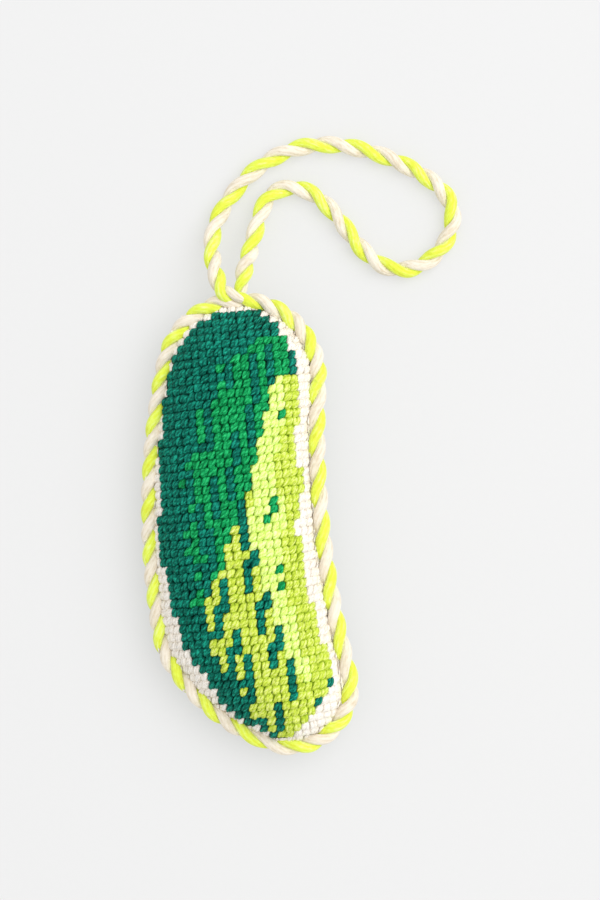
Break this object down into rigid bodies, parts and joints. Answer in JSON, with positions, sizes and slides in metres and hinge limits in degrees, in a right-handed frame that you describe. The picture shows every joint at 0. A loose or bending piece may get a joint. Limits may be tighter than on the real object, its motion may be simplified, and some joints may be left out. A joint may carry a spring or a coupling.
{
  "type": "pickle ornament",
  "caption": "Stuffed needlepoint ornament shaped and shaded as a pickle, with a plain back, a twisted cord round its edge and a hanging loop of the same cord.",
  "frame": {"origin": "on the surface that the ornament lies on, under the middle of its edge cord's box", "axes": "+X across the front to the hollow side, +Y along the pickle to the hanging loop, +Z out of the stitched front"},
  "size_m": [0.0766, 0.1457, 0.0211],
  "materials": {
    "canvas": "matte",
    "dark_teal_wool": "matte",
    "mid_green_wool": "matte",
    "lime_wool": "matte",
    "chartreuse_wool": "matte",
    "cream_wool": "matte",
    "velvet": "matte",
    "filling": "matte",
    "sewing_thread": "matte",
    "twisted_cord": "matte"
  },
  "bodies": {
    "cushion": {"canvas_ground": "canvas", "dark_teal_yarn": "dark_teal_wool", "mid_green_yarn": "mid_green_wool", "lime_yarn": "lime_wool", "chartreuse_yarn": "chartreuse_wool", "cream_yarn": "cream_wool", "velvet_back": "velvet", "fibre_filling": "filling", "seam_thread": "sewing_thread", "edge_cord": "twisted_cord", "couching_thread": "sewing_thread", "closing_thread": "sewing_thread", "hanger_tack": "sewing_thread"},
    "hanger": {"hanger_loop": "twisted_cord"}
  },
  "joints": [
    {"name": "hanger_swing", "type": "hinge", "parent": "cushion", "child": "hanger", "pos_m": [-0.00457, 0.05707, 0.009], "axis": [0.9945, 0.1045, 0], "range_deg": [-75, 120]}
  ]
}
